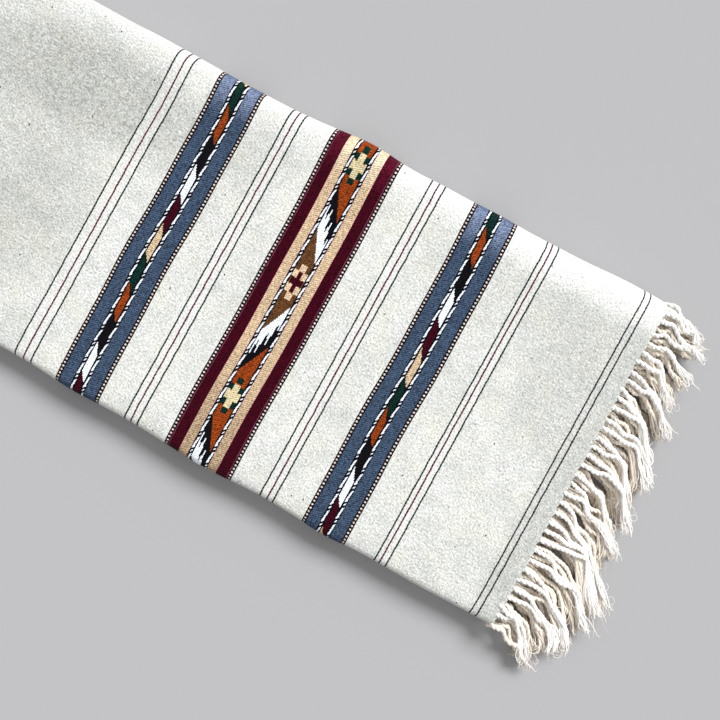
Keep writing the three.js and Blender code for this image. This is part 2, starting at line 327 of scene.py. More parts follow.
def shell(name, line, profile, inset, islands, material, first_s=0.0):
    """Closed cloth of one thickness. Its section line lies outside its middle by inset."""
    # place in the flat cloth: s across the strip and t along it
    s = distances(line) + first_s
    t = profile[:, 4]
    travelled = np.concatenate([[0], np.cumsum(np.abs(np.diff(t)))])
    to_end = np.minimum(travelled, travelled[-1] - travelled)[:, None]
    to_side = np.minimum(s - s[0], s[-1] - s)[None, :]
    half = half_thickness(np.minimum(to_end, to_side))[..., None]
    centre, normal = middle_surface(profile, line, inset)
    lift = ripple(t[:, None], s[None, :])
    lift *= np.where(t > RIPPLE_FROM_X, 1, 0)[:, None]
    points = []
    for side in (centre + normal * half, centre - normal * half):
        settled = settle(side[..., 0], side[..., 1], side[..., 2])
        settled[..., 0] -= scallop(t[:, None], s)
        clear = smooth((side[..., 2] - RIPPLE_FROM_Z) / RIPPLE_RISE)
        settled += normal * (lift * clear)[..., None]
        settled[..., 2] = np.maximum(settled[..., 2], 0.0)
        points.append(settled.reshape(-1, 3))

    count = len(t) * len(s)
    index = np.arange(count).reshape(len(t), len(s))
    back = grid_quads(index + count)[:, ::-1]
    faces = np.concatenate([grid_quads(index), back, *rim_quads(index, count)])
    t_grid, s_grid = np.meshgrid(t, s, indexing="ij")
    flat_points = np.stack([t_grid.reshape(-1), s_grid.reshape(-1)], axis=-1)
    flat_points = np.concatenate([flat_points, flat_points])
    maps = {"weave": (flat_points * MM)[faces]}
    if islands:
        maps["OFBake"] = bake_layout(faces, flat_points, t, s, islands)
    return new_object(name, np.concatenate(points), faces, maps, material)


def outside_line(step):
    """The outer cloth's outside: selvage, underside, wrap, top, fold and the tucked end."""
    return join_lines(
        flat(SELVAGE_Y, WRAP_Y, 0.0, 1, step),
        arc(WRAP_Y, WRAP_RADIUS, WRAP_RADIUS, -math.pi / 2, math.pi / 2, step * 0.7),
        flat(WRAP_Y, FOLD_Y, STACK, -1, step),
        arc(FOLD_Y, FOLD_Z, FOLD_RADIUS, math.pi / 2, 1.5 * math.pi, step * 0.5),
        flat(FOLD_Y, FOLD_Y + TUCK_LENGTH, SPLIT_Z, 1, step),
    )


def middle_surface(profile, line, inset):
    """Middle of the cloth and its normals. The section line lies outside that middle by inset."""
    x, depth, nx, nd = (profile[:, k][:, None] for k in range(4))
    y, z, in_y, in_z = (line[:, k][None, :] for k in range(4))
    inward = depth + inset
    centre = np.stack([x + 0 * y, y + in_y * inward, z + in_z * inward], axis=-1)
    normal = np.stack([nx + 0 * y, in_y * nd, in_z * nd], axis=-1)
    return centre, normal


# ------ materials: fields over the cloth

class Field:
    """A number that varies over a surface. Arithmetic on it adds Math nodes to its material."""

    def __init__(self, tree, socket):
        self.tree = tree
        self.socket = socket

    def math(self, operation, *terms):
        node = self.tree.nodes.new("ShaderNodeMath")
        node.operation = operation
        for socket, term in zip(node.inputs, (self, *terms)):
            if isinstance(term, Field):
                self.tree.links.new(term.socket, socket)
            else:
                socket.default_value = float(term)
        return Field(self.tree, node.outputs[0])

    def __add__(self, other):
        return self.math("ADD", other)

    __radd__ = __add__

    def __sub__(self, other):
        return self.math("SUBTRACT", other)

    def __rsub__(self, other):
        return self.math("MULTIPLY_ADD", -1.0, other)

    def __mul__(self, other):
        return self.math("MULTIPLY", other)

    def __truediv__(self, other):
        return self.math("DIVIDE", other)

    def __lt__(self, other):
        return self.math("LESS_THAN", other)

    def __gt__(self, other):
        return self.math("GREATER_THAN", other)

    def __abs__(self):
        return self.math("ABSOLUTE")

    def wrap(self, low, high):
        return self.math("WRAP", high, low)

    def near(self, centre, reach):
        return self.math("COMPARE", centre, reach)

    def within(self, low, high):
        return self.near((low + high) / 2, (high - low) / 2)

    def rounded_to(self, step):
        return (self / step).math("FLOOR") * step + step / 2

    def sine(self):
        return self.math("SINE")

    def either(self, other):
        return self.math("MAXIMUM", other)


def linear(red, green, blue):
    """A colour given as it shows on a screen, from 0 to 255."""
    def channel(value):
        v = value / 255
        return v / 12.92 if v <= 0.04045 else ((v + 0.055) / 1.055) ** 2.4
    return (channel(red), channel(green), channel(blue), 1.0)


class Paint:
    """A material's colour, built up in layers, each where its mask is 1."""

    def __init__(self, tree, colour):
        self.tree = tree
        self.socket = None
        self.colour = colour

    def over(self, mask, colour):
        node = self.tree.nodes.new("ShaderNodeMix")
        node.data_type = "RGBA"
        # its colour sockets are inputs 6 and 7 and output 2
        factor, below, above = node.inputs[0], node.inputs[6], node.inputs[7]
        self.tree.links.new(mask.socket, factor)
        if self.socket is None:
            below.default_value = self.colour
        else:
            self.tree.links.new(self.socket, below)
        above.default_value = colour
        self.socket = node.outputs[2]
        return self


def noise(tree, vector, scale, detail=2.0, roughness=0.5, distortion=0.0):
    node = tree.nodes.new("ShaderNodeTexNoise")
    node.inputs["Scale"].default_value = scale
    node.inputs["Detail"].default_value = detail
    node.inputs["Roughness"].default_value = roughness
    node.inputs["Distortion"].default_value = distortion
    tree.links.new(vector, node.inputs["Vector"])
    return Field(tree, node.outputs["Fac"])


def white_noise(field):
    node = field.tree.nodes.new("ShaderNodeTexWhiteNoise")
    node.noise_dimensions = "1D"
    field.tree.links.new(field.socket, node.inputs["W"])
    return Field(field.tree, node.outputs["Value"])


def ramp(field, low, high):
    """0 below low, 1 above high, smooth between."""
    node = field.tree.nodes.new("ShaderNodeMapRange")
    node.interpolation_type = "SMOOTHSTEP"
    field.tree.links.new(field.socket, node.inputs["Value"])
    node.inputs["From Min"].default_value = low
    node.inputs["From Max"].default_value = high
    return Field(field.tree, node.outputs["Result"])


def new_material(name, roughness, sheen):
    material = bpy.data.materials.new(name)
    material.use_nodes = True
    tree = material.node_tree
    shader = tree.nodes["Principled BSDF"]
    shader.inputs["Roughness"].default_value = roughness
    shader.inputs["Specular IOR Level"].default_value = 0.05
    shader.inputs["Sheen Weight"].default_value = sheen
    shader.inputs["Sheen Roughness"].default_value = 0.6
    return material, tree, shader


def bump(tree, shader, height, strength):
    """Relief from a height in millimetres."""
    node = tree.nodes.new("ShaderNodeBump")
    node.inputs["Strength"].default_value = strength
    node.inputs["Distance"].default_value = MM
    tree.links.new(height.socket, node.inputs["Height"])
    tree.links.new(node.outputs["Normal"], shader.inputs["Normal"])


WOOL = linear(224, 225, 222)
WOOL_GREY = linear(192, 194, 190)
WOOL_WHITE = linear(234, 235, 232)
FLECK = linear(140, 136, 128)
SPECK = linear(66, 60, 50)
WOOL_WARM = linear(221, 221, 208)
WOOL_SHADE = linear(144, 146, 141)
HIGHLIGHT_WHITE = linear(250, 251, 248)
HIGHLIGHT_BLUE = linear(197, 213, 254)
HIGHLIGHT_MAROON = linear(140, 34, 64)
HIGHLIGHT_BEIGE = linear(255, 244, 214)
BEIGE_SHADE = linear(135, 112, 90)
BLUE = linear(60, 76, 98)
MAROON = linear(56, 0, 18)
BEIGE = linear(202, 177, 144)
BEIGE_PINK = linear(208, 168, 151)
ORANGE = linear(139, 58, 17)
BROWN = linear(93, 60, 34)
GREEN = linear(6, 40, 34)
BLACK = linear(9, 9, 15)
CREAM = linear(212, 198, 158)
CREAM_PINK = linear(215, 187, 156)
WHITE = linear(236, 242, 250)
DOT_CREAM = linear(216, 199, 192)
MAUVE = linear(112, 52, 76)
LINE_GREEN = linear(20, 32, 32)
LINE_MAROON = linear(78, 2, 36)

THREAD = 0.75  # pitch of the inlaid threads
TWILL_TURN = 2 * math.pi / 1.5  # per millimetre, for a twill line every 1.5 mm
STITCH_PITCH = 2.6
STITCH_LENGTH = 1.9
SPECK_CELL = 1.7
SPECK_RARITY = 0.9991
# The thin lines that run across the cloth: three together, and two at the end.
TRIPLES = (
    (628.9, 635.9, 641.8), (718.2, 723.2, 728.3),
    (827.7, 833.3, 837.9), (920.1, 924.0, 928.9),
)
END_LINES = (996.8, 1001.7)
LINE_HALF = 0.6
END_LINE_HALF = 0.58

DOT_PERIOD = 2.7
DOT_REACH_X = 0.78
DOT_REACH_S = 0.72
DASH_PERIOD = 13.2

# The blue bands: middle, and where the lozenges start and their pitch. Then distances from the middle.
BLUE_BANDS = (
    {"x": 679.0, "s": 285.96, "pitch": 24.1},
    {"x": 879.2, "s": 277.6, "pitch": 23.6},
)
BLUE_HALF = 14.3
BLUE_EDGING = (14.2, 17.4)
BLUE_BAND_HALF = 17.0
BLUE_BLACK_HALF = 5.6
BLUE_DASH_AT = 4.1
BLUE_CHANNEL_HALF = 2.5
LOZENGE_SLOPE = 2.3
LOZENGES = (ORANGE, BLACK, WHITE, MAROON, BEIGE, GREEN)

# The maroon band: middle, distances from there, and its arrows and flowers.
MAROON_BAND_X = 778.0
MAROON_HALF = 24.0
MAROON_EDGING = (23.7, 26.9)
MAUVE_LINE = (23.2, 23.8)
PINK_HALF = 15.2
BEIGE_HALF = 14.5
INNER_PINK_HALF = 9.0
MAROON_BLACK_HALF = 8.4
MAROON_DASH_AT = 6.9
MAROON_CHANNEL_HALF = 5.2
FLOWER_S = 282.66
FLOWER_PERIOD = 182.8
ARROW_SLOPE = 2.27
ORANGE_REACH = 18.6
BROWN_FROM = 50.6
# The crosses of the flowers: half width and length of the stem, length and half width of the bar.
CREAM_ARMS = (2.0, 9.0, 4.9, 2.2)
MAROON_ARMS = (1.75, 7.5, 4.6, 1.6)
# Their blocks: where the corner ones start and stop; the end one's half width, start and stop.
GREEN_BLOCKS = (3.4, 8.3, 2.0, 9.1, 13.8)
PINK_BLOCKS = (2.6, 8.2, 2.1, 8.2, 13.5)

# Areas of painted shade on the wool: centre x and s, reach each way, and how much.
PAINTED_SHADE_AREAS = (
    (590, 322, 125, 44, 1.0),
    (1000, 330, 70, 95, 0.5),
    (915, 300, 80, 70, 0.25),
    (1012, 455, 26, 100, 0.65),
    (700, 300, 50, 70, 0.3),
    (590, 460, 70, 90, 0.2),
    (350, 470, 130, 90, 0.35),
    (190, 330, 150, 100, 0.45),
    (60, 450, 90, 100, 0.35),
    (555, 400, 90, 110, 0.55),
)
# A painted highlight along the wrapped edge: s where it starts, is full and stops.
HIGHLIGHT_S = (256.0, 274.0, 299.0)
HIGHLIGHT_X = (480.0, 1000.0)  # on the plain wool it grows between these x, towards the fringe
BEIGE_SHADE_S = (420.0, 500.0)  # and painted shade darkens the beige between these s, towards the fold


def dotted_edging(paint, d, s, low, high):
    """A column of cream dots in black, along one side of a band."""
    strip = d.within(low, high)
    across = (d - (low + high) / 2) / DOT_REACH_X
    along = (s.wrap(0, DOT_PERIOD) - DOT_PERIOD / 2) / DOT_REACH_S
    dot = (across * across + along * along) < 1.0
    paint.over(strip, BLACK).over(strip * dot, DOT_CREAM)


def dash_column(paint, d, s, centre):
    """A column of leaning white dashes in black, with slanting ragged ends and a dot in each gap."""
    row = white_noise(s.rounded_to(THREAD)) - 0.5
    off = d - centre
    t = (s + off * 1.1 + row * 0.4).wrap(0, DASH_PERIOD)
    leaning = off + t * 0.12 - 0.55 + row * 0.3
    dash = leaning.near(0, 0.66) * t.near(4.1, 3.6)
    hook = (leaning - 0.4).near(0, 0.7) * t.near(7.9, 0.6)
    dot = off.near(0.1, 0.6) * t.near(10.9, 0.6)
    paint.over(off.near(0, 1.5), BLACK)
    paint.over(off.near(0, 1.35) * dash.either(hook).either(dot), WHITE)


def sway_of(s, reach, pitch, phase):
    """A woven band wanders a little, across its length."""
    return (s / pitch + phase).sine() * reach + (s / (pitch * 0.41) + 2 * phase).sine() * (reach * 0.4)


def blue_band(paint, x, s, sq, band, edge_highlight):
    """A blue band at band["x"]: dotted edgings, and lozenges between two columns of dashes."""
    d = x - band["x"] + sway_of(s, 0.7, 31.0, band["x"])
    dq = d.rounded_to(THREAD)
    side = abs(d)
    blue = side < BLUE_HALF
    # the blue is paler along the wrapped edge: a painted highlight
    paint.over(blue, BLUE).over(blue * edge_highlight * 0.25, HIGHLIGHT_BLUE)
    dotted_edging(paint, side, s, *BLUE_EDGING)
    paint.over(side < BLUE_BLACK_HALF, BLACK)
    for way, late in ((-1, 0.0), (1, DASH_PERIOD / 2)):
        dash_column(paint, d, s - band["s"] - late, way * BLUE_DASH_AT)
    channel = abs(dq) < BLUE_CHANNEL_HALF
    repeat = band["pitch"] * len(LOZENGES)
    place_in = (sq - (dq + 3.0) * LOZENGE_SLOPE - band["s"] + 1.5).wrap(0, repeat)
    sliver = (dq + 2.4) * 0.7
    for k, colour in enumerate(LOZENGES):
        start = k * band["pitch"]
        begun = place_in > start
        lozenge = begun * ((place_in + sliver) < start + band["pitch"])
        paint.over(channel * begun, BLACK).over(channel * lozenge, colour)


def maroon_band(paint, x, s, sq, edge_highlight):
    """The broad band: maroon, beige, dashes, and arrows that meet at stepped flowers."""
    d = x - MAROON_BAND_X + sway_of(s, 0.45, 37.0, 1.0)
    dq = d.rounded_to(THREAD)
    side = abs(d)
    maroon = side < MAROON_HALF
    beige = side < PINK_HALF
    # the maroon is paler along the wrapped edge: a painted highlight
    paint.over(maroon, MAROON).over(maroon * edge_highlight * 0.2, HIGHLIGHT_MAROON)
    dotted_edging(paint, side, s, *MAROON_EDGING)
    paint.over(side.within(*MAUVE_LINE), MAUVE)
    paint.over(beige, BEIGE_PINK).over(side < BEIGE_HALF, BEIGE)
    paint.over(side < INNER_PINK_HALF, BEIGE_PINK)
    # the beige is paler along the wrapped edge: a painted highlight
    paint.over(beige * edge_highlight * 0.45, HIGHLIGHT_BEIGE)
    # painted shade on the beige towards the folded edge
    paint.over(beige * ramp(s, *BEIGE_SHADE_S) * 0.5, BEIGE_SHADE)
    paint.over(side < MAROON_BLACK_HALF, BLACK)
    for way, late in ((-1, 0.0), (1, DASH_PERIOD / 3)):
        dash_column(paint, d, s - late, way * MAROON_DASH_AT)
    channel = abs(dq) < MAROON_CHANNEL_HALF
    half = FLOWER_PERIOD / 2
    q = abs((sq - FLOWER_S + half).wrap(0, FLOWER_PERIOD) - half)
    slope = (dq + 5.1) * ARROW_SLOPE
    orange = q < (slope + ORANGE_REACH)
    brown = q > (slope + BROWN_FROM)
    depth = slope + BROWN_FROM - q
    teeth = abs(((dq - 1.9) / 3.7).math("FRACT") * 2 - 1)
    white = depth < (teeth * 14.5 + 9.5)
    paint.over(channel, BLACK).over(channel * white, WHITE)
    paint.over(channel * orange, ORANGE).over(channel * brown, BROWN)
    flower(paint, dq, q, channel, CREAM, GREEN, CREAM_ARMS, GREEN_BLOCKS)
    flower(paint, dq, half - q, channel, MAROON, CREAM_PINK, MAROON_ARMS, PINK_BLOCKS)


def flower(paint, d, q, channel, cross, blocks, arms, corners):
    """A small stepped flower: a cross with four corner blocks and a block at each end."""
    narrow, long, wide, short = arms
    block_low, block_high, end_half, end_low, end_high = corners
    side = abs(d)
    corner = (side > narrow + 0.1) * q.within(block_low, block_high)
    end = (side < end_half) * q.within(end_low, end_high)
    paint.over(channel * corner.either(end), blocks)
    stem = (side < narrow) * (q < long)
    bar = (side < wide) * (q < (side * 0.3 + short))
    paint.over(channel * stem.either(bar), cross)


def wool_noises(tree, place_on_cloth):
    """The wool's uneven grain, from the finest to the widest, and how its lines wander."""
    return {
        "grain": noise(tree, place_on_cloth, 680.0, detail=1.0),
        "clot": noise(tree, place_on_cloth, 330.0, detail=3.0, roughness=0.6, distortion=0.9),
        "fleck": noise(tree, place_on_cloth, 240.0, detail=1.0),
        "wander": (noise(tree, place_on_cloth, 140.0, detail=1.0) - 0.5) * 0.9,
        "patch": noise(tree, place_on_cloth, 105.0, distortion=0.5),
        "warm": noise(tree, place_on_cloth, 42.0),
        "cloud": noise(tree, place_on_cloth, 30.0),
    }


def paint_ground(paint, wool, x, s, edge_highlight):
    """The off-white wool: its clots, painted shade in places, a painted highlight along the wrapped edge,
    flecks and dark specks.
    """
    clotted = ramp(wool["clot"], 0.38, 0.76)
    paint.over(clotted * 0.56, WOOL_GREY)
    paint.over(ramp(wool["patch"], 0.40, 0.68) * 0.42, WOOL_GREY)
    paint.over(ramp(wool["cloud"], 0.40, 0.70) * 0.42, WOOL_GREY)
    paint.over(ramp(wool["warm"], 0.44, 0.7) * 0.5, WOOL_WARM)
    # areas of painted shade, grainier where the wool clots
    shade_mottle = clotted * 0.5 + 0.37
    for at_x, at_s, reach_x, reach_s, depth in PAINTED_SHADE_AREAS:
        off_x = (x - at_x) / reach_x
        off_s = (s - at_s) / reach_s
        painted_shade = ramp(1 - (off_x * off_x + off_s * off_s), 0.0, 1.0)
        paint.over(painted_shade * shade_mottle * depth, WOOL_SHADE)
    # a painted highlight along the wrapped edge, growing towards the fringe
    paint.over(edge_highlight * ramp(x, *HIGHLIGHT_X) * 0.9, HIGHLIGHT_WHITE)
    paint.over(ramp(wool["fleck"], 0.71, 0.76) * 0.5, FLECK)
    cell_x = x / SPECK_CELL
    cell_s = s / SPECK_CELL
    chosen = white_noise(cell_x.math("FLOOR") * 57.3 + cell_s.math("FLOOR")) > SPECK_RARITY
    off_x = cell_x.math("FRACT") - 0.5
    off_s = cell_s.math("FRACT") - 0.5
    paint.over(chosen * ((off_x * off_x * 2 + off_s * off_s) < 0.17), SPECK)


def paint_lines(paint, x, s, wander):
    """The thin woven lines, stitch by stitch, on wool that is whiter between them."""
    wavy = x + wander
    stitch = s.wrap(0, STITCH_PITCH) < STITCH_LENGTH
    for left, middle, right in TRIPLES:
        paint.over(x.within(left, right) * 0.35, WOOL_WHITE)
        for at, colour in ((left, LINE_GREEN), (middle, LINE_MAROON), (right, LINE_GREEN)):
            paint.over(wavy.near(at, LINE_HALF) * (stitch * 0.18 + 0.82), colour)
    for at in END_LINES:
        paint.over(wavy.near(at, END_LINE_HALF) * (stitch * 0.2 + 0.78), BLACK)


def wool_cloth():
    """Off-white fulled wool with its woven lines and bands, by the cloth's own x and s."""
    material, tree, shader = new_material("shawl_wool", roughness=0.95, sheen=0.03)
    uv = tree.nodes.new("ShaderNodeUVMap")
    uv.uv_map = "weave"
    split = tree.nodes.new("ShaderNodeSeparateXYZ")
    tree.links.new(uv.outputs["UV"], split.inputs[0])
    x = Field(tree, split.outputs["X"]) / MM
    s = Field(tree, split.outputs["Y"]) / MM
    wool = wool_noises(tree, uv.outputs["UV"])

    # threads lie in columns, each a little out of step with the next
    xq = x.rounded_to(THREAD)
    sq = (s + white_noise(xq) * 0.6).rounded_to(THREAD)

    # where a highlight is painted along the wrapped edge
    highlight_start, highlight_full, highlight_end = HIGHLIGHT_S
    edge_highlight = ramp(s, highlight_start, highlight_full) * (1 - ramp(s, highlight_full, highlight_end))
    paint = Paint(tree, WOOL)
    paint_ground(paint, wool, x, s, edge_highlight)
    paint_lines(paint, x, s, wool["wander"])
    for band in BLUE_BANDS:
        blue_band(paint, x, s, sq, band, edge_highlight)
    maroon_band(paint, x, s, sq, edge_highlight)

    # each stitch has its own shade, most of all where its colour is dark
    first, second = (x.near(band["x"], BLUE_BAND_HALF) for band in BLUE_BANDS)
    blue = first.either(second)
    banded = blue.either(x.near(MAROON_BAND_X, MAROON_EDGING[1]))
    plain = 1 - banded
    twill = ((s + x * 0.3) * TWILL_TURN).sine()
    stitches = white_noise(xq * 7.31 + sq) - 0.5
    tone = tree.nodes.new("ShaderNodeRGBToBW")
    tree.links.new(paint.socket, tone.inputs[0])
    dark = 1 - Field(tree, tone.outputs[0]) * 0.85
    threads = (twill * (blue * 0.1 + 0.24) + stitches * 1.25) * dark
    value = 1.0 + (wool["grain"] - 0.5) * (plain * 0.55 + 0.6) + threads * banded
    shade = tree.nodes.new("ShaderNodeHueSaturation")
    tree.links.new(paint.socket, shade.inputs["Color"])
    tree.links.new(value.socket, shade.inputs["Value"])
    tree.links.new(shade.outputs["Color"], shader.inputs["Base Color"])

    weave = (x * TWILL_TURN).sine() * (s * TWILL_TURN).sine() * 0.08
    height = wool["grain"] * 0.6 + wool["clot"] * 0.7 + weave * plain
    height = height + twill * banded * 0.12 + wool["cloud"] * 0.8
    bump(tree, shader, height, 0.9)
    return material


def fringe_yarn(name, light, dark):
    """Twisted yarn, mottled from light to dark."""
    material, tree, shader = new_material(name, roughness=0.92, sheen=0.12)
    coordinates = tree.nodes.new("ShaderNodeTexCoord")
    grain = noise(tree, coordinates.outputs["Object"], 900.0, detail=3.0, roughness=0.6)
    cloud = noise(tree, coordinates.outputs["Object"], 90.0, detail=1.0)
    paint = Paint(tree, light)
    paint.over(ramp(grain, 0.42, 0.75) * 0.6, dark)
    paint.over(ramp(cloud, 0.45, 0.8) * 0.5, dark)
    tree.links.new(paint.socket, shader.inputs["Base Color"])
    bump(tree, shader, grain * 0.35, 0.7)
    return material


# ------ camera, light and floor

TURN = math.radians(28.8)  # of the strip's length in the picture
VIEW_X = 843.8
VIEW_Y = -8.3
VIEW_HEIGHT = 560.0
LENS = 40
CLIP_START = 0.01
KEY_RIGHT = 0.60
KEY_UP = 0.55
KEY_TOWARDS = 0.75
KEY_ENERGY = 3.7
KEY_ANGLE = math.radians(24)
WORLD_STRENGTH = 0.52
FLOOR_HALF = 30.0
FLOOR_DROP = 0.0002
FLOOR_GREY = linear(173, 173, 175)

picture_right = Vector((math.cos(TURN), math.sin(TURN), 0))
picture_up = Vector((-math.sin(TURN), math.cos(TURN), 0))
view_at = Vector(place((VIEW_X, VIEW_Y, STACK)))

camera_data = bpy.data.cameras.new("camera")
camera_data.lens = LENS
camera_data.clip_start = CLIP_START
camera = add_object("camera", camera_data)
camera.location = view_at + Vector((0, 0, VIEW_HEIGHT * MM))
camera.rotation_euler = (0, 0, TURN)
bpy.context.scene.camera = camera
bpy.context.scene.view_settings.view_transform = "Standard"

key_data = bpy.data.lights.new("key_light", "SUN")
key_data.angle = KEY_ANGLE
key_data.energy = KEY_ENERGY
key_light = add_object("key_light", key_data)
key_from = picture_right * KEY_RIGHT + picture_up * KEY_UP + Vector((0, 0, KEY_TOWARDS))
key_light.location = view_at + key_from
key_light.rotation_euler = (-key_from).to_track_quat("-Z", "Y").to_euler()

world = bpy.data.worlds.new("studio")
world.use_nodes = True
background = world.node_tree.nodes["Background"]
background.inputs["Color"].default_value = (1, 1, 1, 1)
background.inputs["Strength"].default_value = WORLD_STRENGTH
bpy.context.scene.world = world

floor_corners = [(x * FLOOR_HALF, y * FLOOR_HALF, 0) for x, y in ((-1, -1), (1, -1), (1, 1), (-1, 1))]
floor_mesh = bpy.data.meshes.new("floor")
floor_mesh.from_pydata(floor_corners, [], [(0, 1, 2, 3)])
floor = add_object("floor", floor_mesh)
floor.location.z = -FLOOR_DROP
floor_material, _, floor_shader = new_material("floor", roughness=0.95, sheen=0.0)
floor_shader.inputs["Base Color"].default_value = FLOOR_GREY
floor_mesh.materials.append(floor_material)


# ------ the cloth's pieces

BAKE_SIZE = 1024.0
SPLIT_X = 600.0  # the patterned end of the cloth is laid out larger than the plain end
TOP_S = WRAP_Y - SELVAGE_Y
FAR_X = -60.0
LAST_S = 570.0
OUTER_STEP = 4.2  # across the strip
OUTER_LONG_STEP = 4.5  # along it
INNER_STEP = 6.0
INNER_LONG_STEP = 9.0

# Middle heights of the layers, from the floor up, and where those that stop short of a turn end.
LAYER_Z = {2: 3.5, 3: 5.8, 4: 8.1, 5: 10.6, 6: 14.0, 7: 17.4}
LAYER_END_Y = {2: -122, 3: -125, 4: -123}
# The inner stretches end a little short of the outer one, each at a plane of its own.
HALF_SHORT = 0.3
REST_SHORT = 0.1
REST_FROM_X = 6.0
HALF_FIRST_S = 20.0  # where in the pattern each of them starts
REST_FIRST_S = 564.0


def island(low, high, scale, at, turned=False, back=False):
    """A stretch of the cloth, from low to high in x and s, and how it lies in the bake layout."""
    return {"low": low, "high": high, "scale": scale, "at": at, "turned": turned, "back": back}


CLOTH_ISLANDS = (
    island((SPLIT_X, TOP_S), (STRIP_LENGTH, LAST_S), 2.16, (4, 4)),
    island((SPLIT_X, 0), (STRIP_LENGTH, TOP_S), 1.2, (6, 718)),
    island((FAR_X, TOP_S), (SPLIT_X, LAST_S), 0.74, (514, 718)),
    island((FAR_X, 0), (SPLIT_X, TOP_S), 0.41, (917, 4), turned=True),
    island((FAR_X, 0), (STRIP_LENGTH, LAST_S), 0.17, (917, 290), turned=True, back=True),
)

cloth_material = wool_cloth()

outer_section = rounded(outside_line(OUTER_STEP))
outer_profile = length_profile(
    TURN_RADIUS, STRIP_LENGTH, OUTER_LONG_STEP, turn=TURN_RADIUS - WALL / 2, back=RETURN_LENGTH,
)
# a station at the line where the layout changes scale
nearest = np.argmin(np.abs(outer_profile[:, 4] - SPLIT_X))
outer_profile[nearest, [0, 4]] = SPLIT_X
cloth = shell("shawl_cloth", outer_section, outer_profile, WALL / 2, CLOTH_ISLANDS, cloth_material)
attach(cloth, "root")
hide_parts("outer_cloth")


def turn_between(low, high):
    """Centre height and radius of the turn that joins two layers."""
    centre = (LAYER_Z[low] + LAYER_Z[high]) / 2
    radius = (LAYER_Z[high] - LAYER_Z[low]) / 2
    return centre, radius


def half_line():
    """Section of the half of the cloth that lies inside: layers 2, 7, 6 and 3, as its middle."""
    outer_z, outer_r = turn_between(2, 7)
    inner_z, inner_r = turn_between(3, 6)
    fold_z, fold_r = turn_between(6, 7)
    return join_lines(
        flat(LAYER_END_Y[2], WRAP_Y, LAYER_Z[2], 1, INNER_STEP),
        arc(WRAP_Y, outer_z, outer_r, -math.pi / 2, math.pi / 2, INNER_STEP * 0.7),
        flat(WRAP_Y, FOLD_Y, LAYER_Z[7], -1, INNER_STEP),
        arc(FOLD_Y, fold_z, fold_r, math.pi / 2, 1.5 * math.pi, INNER_STEP * 0.3),
        flat(FOLD_Y, WRAP_Y, LAYER_Z[6], 1, INNER_STEP),
        arc(WRAP_Y, inner_z, inner_r, math.pi / 2, -math.pi / 2, INNER_STEP * 0.5) * (1, 1, -1, -1),
        flat(WRAP_Y, LAYER_END_Y[3], LAYER_Z[3], -1, INNER_STEP),
    )


def rest_line():
    """Section of the outer half's last stretch: layers 5 and 4, as its middle."""
    turn_z, turn_r = turn_between(4, 5)
    return join_lines(
        flat(FOLD_Y + TUCK_LENGTH + SEAM, WRAP_Y, LAYER_Z[5], 1, INNER_STEP),
        arc(WRAP_Y, turn_z, turn_r, math.pi / 2, -math.pi / 2, INNER_STEP * 0.25) * (1, 1, -1, -1),
        flat(WRAP_Y, LAYER_END_Y[4], LAYER_Z[4], -1, INNER_STEP),
    )


def add_inner(name, line, start_x, short, first_s):
    """One of the two stretches of cloth that lie inside the stack."""
    profile = length_profile(start_x, STRIP_LENGTH - short, INNER_LONG_STEP)
    piece = shell(name, rounded(line), profile, 0.0, None, cloth_material, first_s)
    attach(piece, "root")
    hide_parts("inner_layers")
    return piece


half_from_x = TURN_RADIUS + RETURN_LENGTH + 2 * SEAM
inner_half = add_inner("inner_half", half_line(), half_from_x, HALF_SHORT, HALF_FIRST_S)
inner_rest = add_inner("inner_rest", rest_line(), REST_FROM_X, REST_SHORT, REST_FIRST_S)


# ------ the fringe

# Rows of yarns: CAD node and its number, heights of roots and tips, ends of the row, tuft phase.
ROWS = (
    ("fringe_bottom", 0, 1.4, 1.2, -122, 114, 0.0),
    ("fringe_lower", 1, 3.6, 2.6, -124, 115, 0.9),
    ("fringe_lower", 1, 5.9, 3.8, -121, 118, 2.1),
    ("fringe_middle", 2, 8.2, 5.0, -118, 119, 3.0),
    ("fringe_middle", 2, 10.7, 6.2, -88, 121, 4.4),
    ("fringe_upper", 3, 14.1, 7.6, -119, 120, 0.3),
    ("fringe_upper", 3, 17.4, 9.0, -119, 118, 1.2),
    ("fringe_top", 4, 21.0, 10.8, -120, 114, 3.3),
)
# Tufts, from +Y to -Y: x and y where the uppermost row's tips gather, and y of the last root.
TUFTS = (
    (1051, 111, 103), (1054, 90, 92), (1051, 67, 76), (1062, 48, 60), (1054, 27, 44),
    (1067, 8, 26), (1061, -13, 10), (1068, -24, 0), (1061, -38, -12), (1070, -48, -28),
    (1079, -81, -60), (1077, -101, -78), (1070, -117, -94), (1061, -127, -108), (1050, -134, -999),
)
TUFTS_FROM_Y = 114
TUFTS_TO_Y = -120
# Yarns of the outer cloth's round edges: CAD node, then centre y and z and radius, and angle.
WRAP_EDGE = (WRAP_Y, WRAP_RADIUS, 10.0)
FOLD_EDGE = (FOLD_Y, FOLD_Z, 5.2)
EDGE_YARNS = (
    ("fringe_top", WRAP_EDGE, 66), ("fringe_top", WRAP_EDGE, 44), ("fringe_top", WRAP_EDGE, 22),
    ("fringe_upper", WRAP_EDGE, 2), ("fringe_upper", WRAP_EDGE, -18), ("fringe_middle", WRAP_EDGE, -38),
    ("fringe_upper", FOLD_EDGE, 128), ("fringe_upper", FOLD_EDGE, 175), ("fringe_middle", FOLD_EDGE, 222),
)
PLY_RADIUS = 1.16
PLY_OFFSET = 0.68
TWIST_PITCH = 6.2
YARN_STEPS = 54
PLY_END = 0.8  # share of the yarn's length where its plies have come apart
FORKS = 3  # points that each tuft's frayed ends gather to
